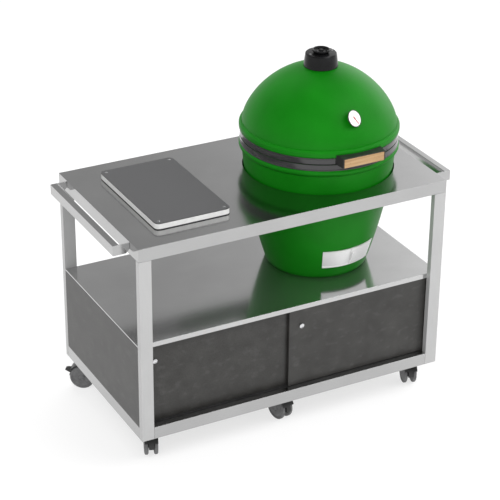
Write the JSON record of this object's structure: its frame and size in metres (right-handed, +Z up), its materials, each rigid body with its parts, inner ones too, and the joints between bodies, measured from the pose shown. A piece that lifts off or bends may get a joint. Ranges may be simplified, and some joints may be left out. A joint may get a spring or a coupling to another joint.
{
  "type": "kamado charcoal grill in a rolling table",
  "caption": "Egg-shaped ceramic charcoal grill set into a rolling stainless steel table with a shelf, sliding-door cabinet, push bars, casters and a chopping board.",
  "frame": {"origin": "on the floor under the middle of the table", "axes": "+X runs along the table towards the kamado, -Y is the front with the sliding doors, +Z is up"},
  "size_m": [1.432, 0.73, 1.409],
  "materials": {
    "stainless": "satin brushed stainless steel sheet and tube",
    "band_steel": "dark satin steel strap",
    "green_glaze": "deep green glaze with a fine orange-peel surface",
    "fire_clay": "unglazed refractory clay",
    "cast_iron": "black cast iron",
    "grid_steel": "polished stainless bars",
    "felt": "heat-proof felt",
    "beech": "oiled beech",
    "black_steel": "black coated steel",
    "slate_laminate": "mottled slate laminate",
    "board_laminate": "dark grey laminate skins on a white core",
    "caster_plastic": "black moulded nylon",
    "wheel_rubber": "grey non-marking tread",
    "polished_steel": "polished steel",
    "dial_white": "white enamelled dial",
    "needle_red": "red lacquer"
  },
  "bodies": {
    "cart": {"worktop": "stainless", "leg_front_left": "stainless", "leg_front_right": "stainless", "leg_back_left": "stainless", "leg_back_right": "stainless", "rail_front": "stainless", "rail_back": "stainless", "rail_left": "stainless", "rail_right": "stainless", "shelf": "stainless", "cabinet_floor": "slate_laminate", "cabinet_back_panel": "slate_laminate", "side_panel_left": "slate_laminate", "side_panel_right": "slate_laminate", "door_track_bottom": "stainless", "door_track_top": "stainless", "push_handle_left": "stainless", "push_handle_right": "stainless", "base_shell": "green_glaze", "fire_box": "fire_clay", "fire_ring": "fire_clay", "charcoal_grate": "cast_iron", "draft_frame": "stainless", "base_band": "band_steel", "base_gasket": "felt", "hinge_lower": "band_steel", "hinge_pin": "polished_steel"},
    "lid": {"lid_shell": "green_glaze", "lid_band": "band_steel", "lid_gasket": "felt", "hinge_upper": "band_steel", "lid_handle_bracket": "black_steel", "lid_handle_grip": "beech", "chimney_cap": "cast_iron", "thermometer_case": "dial_white"},
    "vent_dial": {"vent_dial": "cast_iron"},
    "needle": {"thermometer_needle": "needle_red"},
    "draft_door": {"draft_door": "stainless"},
    "door_left": {"door_left": "slate_laminate", "door_pull_left": "polished_steel"},
    "door_right": {"door_right": "slate_laminate", "door_pull_right": "polished_steel"},
    "cooking_grid": {"cooking_grid": "grid_steel"},
    "chopping_board": {"chopping_board": "board_laminate"},
    "caster_front_left_swivel": {"caster_front_left_hood": "caster_plastic"},
    "caster_front_left_wheels": {"caster_front_left_wheels": "wheel_rubber"},
    "caster_front_middle_swivel": {"caster_front_middle_hood": "caster_plastic"},
    "caster_front_middle_wheels": {"caster_front_middle_wheels": "wheel_rubber"},
    "caster_front_right_swivel": {"caster_front_right_hood": "caster_plastic"},
    "caster_front_right_wheels": {"caster_front_right_wheels": "wheel_rubber"},
    "caster_back_left_swivel": {"caster_back_left_hood": "caster_plastic"},
    "caster_back_left_wheels": {"caster_back_left_wheels": "wheel_rubber"},
    "caster_back_left_pedal": {"caster_back_left_pedal": "caster_plastic"},
    "caster_back_middle_swivel": {"caster_back_middle_hood": "caster_plastic"},
    "caster_back_middle_wheels": {"caster_back_middle_wheels": "wheel_rubber"},
    "caster_back_right_swivel": {"caster_back_right_hood": "caster_plastic"},
    "caster_back_right_wheels": {"caster_back_right_wheels": "wheel_rubber"},
    "caster_back_right_pedal": {"caster_back_right_pedal": "caster_plastic"}
  },
  "joints": [
    {"name": "lid_hinge", "type": "hinge", "parent": "cart", "child": "lid", "pos_m": [0.29, 0.335, 1.065], "axis": [-1, 0, 0], "range_deg": [0, 80]},
    {"name": "vent_dial_turn", "type": "hinge", "parent": "lid", "child": "vent_dial", "pos_m": [0.29, 0, 1.4], "axis": [0, 0, 1], "range_deg": [0, 30]},
    {"name": "needle_turn", "type": "hinge", "parent": "lid", "child": "needle", "pos_m": [0.28647, -0.26563, 1.22426], "axis": [-0.29, 0.7969, -0.5299], "range_deg": [0, 300]},
    {"name": "draft_door_slide", "type": "hinge", "parent": "cart", "child": "draft_door", "pos_m": [0.29, 0, 0.6], "axis": [0, 0, -1], "range_deg": [0, 27]},
    {"name": "door_left_slide", "type": "slide", "parent": "cart", "child": "door_left", "axis": [1, 0, 0], "range_m": [0, 0.61]},
    {"name": "door_right_slide", "type": "slide", "parent": "cart", "child": "door_right", "axis": [-1, 0, 0], "range_m": [0, 0.61]},
    {"name": "cooking_grid_lift", "type": "slide", "parent": "cart", "child": "cooking_grid", "axis": [0, 0, 1], "range_m": [0, 0.05]},
    {"name": "chopping_board_lift", "type": "slide", "parent": "cart", "child": "chopping_board", "axis": [0, 0, 1], "range_m": [0, 0.12]},
    {"name": "caster_front_left_swivel", "type": "hinge", "parent": "cart", "child": "caster_front_left_swivel", "pos_m": [-0.58, -0.29, 0.124], "axis": [0, 0, 1], "continuous": true},
    {"name": "caster_front_left_roll", "type": "hinge", "parent": "caster_front_left_swivel", "child": "caster_front_left_wheels", "pos_m": [-0.56925, -0.26199, 0.05], "axis": [-0.9336, 0.3584, 0], "continuous": true},
    {"name": "caster_front_middle_swivel", "type": "hinge", "parent": "cart", "child": "caster_front_middle_swivel", "pos_m": [0, -0.29, 0.124], "axis": [0, 0, 1], "continuous": true},
    {"name": "caster_front_middle_roll", "type": "hinge", "parent": "caster_front_middle_swivel", "child": "caster_front_middle_wheels", "pos_m": [-0.00572, -0.26055, 0.05], "axis": [-0.9816, -0.1908, 0], "continuous": true},
    {"name": "caster_front_right_swivel", "type": "hinge", "parent": "cart", "child": "caster_front_right_swivel", "pos_m": [0.58, -0.29, 0.124], "axis": [0, 0, 1], "continuous": true},
    {"name": "caster_front_right_roll", "type": "hinge", "parent": "caster_front_right_swivel", "child": "caster_front_right_wheels", "pos_m": [0.58977, -0.26163, 0.05], "axis": [-0.9455, 0.3256, 0], "continuous": true},
    {"name": "caster_back_left_swivel", "type": "hinge", "parent": "cart", "child": "caster_back_left_swivel", "pos_m": [-0.58, 0.29, 0.124], "axis": [0, 0, 1], "continuous": true},
    {"name": "caster_back_left_roll", "type": "hinge", "parent": "caster_back_left_swivel", "child": "caster_back_left_wheels", "pos_m": [-0.60396, 0.30805, 0.05], "axis": [-0.6018, -0.7986, 0], "continuous": true},
    {"name": "caster_back_left_brake", "type": "hinge", "parent": "caster_back_left_swivel", "child": "caster_back_left_pedal", "pos_m": [-0.64349, 0.33784, 0.075], "axis": [-0.6018, -0.7986, 0], "range_deg": [0, 8]},
    {"name": "caster_back_middle_swivel", "type": "hinge", "parent": "cart", "child": "caster_back_middle_swivel", "pos_m": [0, 0.29, 0.124], "axis": [0, 0, 1], "continuous": true},
    {"name": "caster_back_middle_roll", "type": "hinge", "parent": "caster_back_middle_swivel", "child": "caster_back_middle_wheels", "pos_m": [-0.01408, 0.26351, 0.05], "axis": [0.8829, -0.4695, 0], "continuous": true},
    {"name": "caster_back_right_swivel", "type": "hinge", "parent": "cart", "child": "caster_back_right_swivel", "pos_m": [0.58, 0.29, 0.124], "axis": [0, 0, 1], "continuous": true},
    {"name": "caster_back_right_roll", "type": "hinge", "parent": "caster_back_right_swivel", "child": "caster_back_right_wheels", "pos_m": [0.60396, 0.30805, 0.05], "axis": [-0.6018, 0.7986, 0], "continuous": true},
    {"name": "caster_back_right_brake", "type": "hinge", "parent": "caster_back_right_swivel", "child": "caster_back_right_pedal", "pos_m": [0.64349, 0.33784, 0.075], "axis": [-0.6018, 0.7986, 0], "range_deg": [0, 8]}
  ]
}
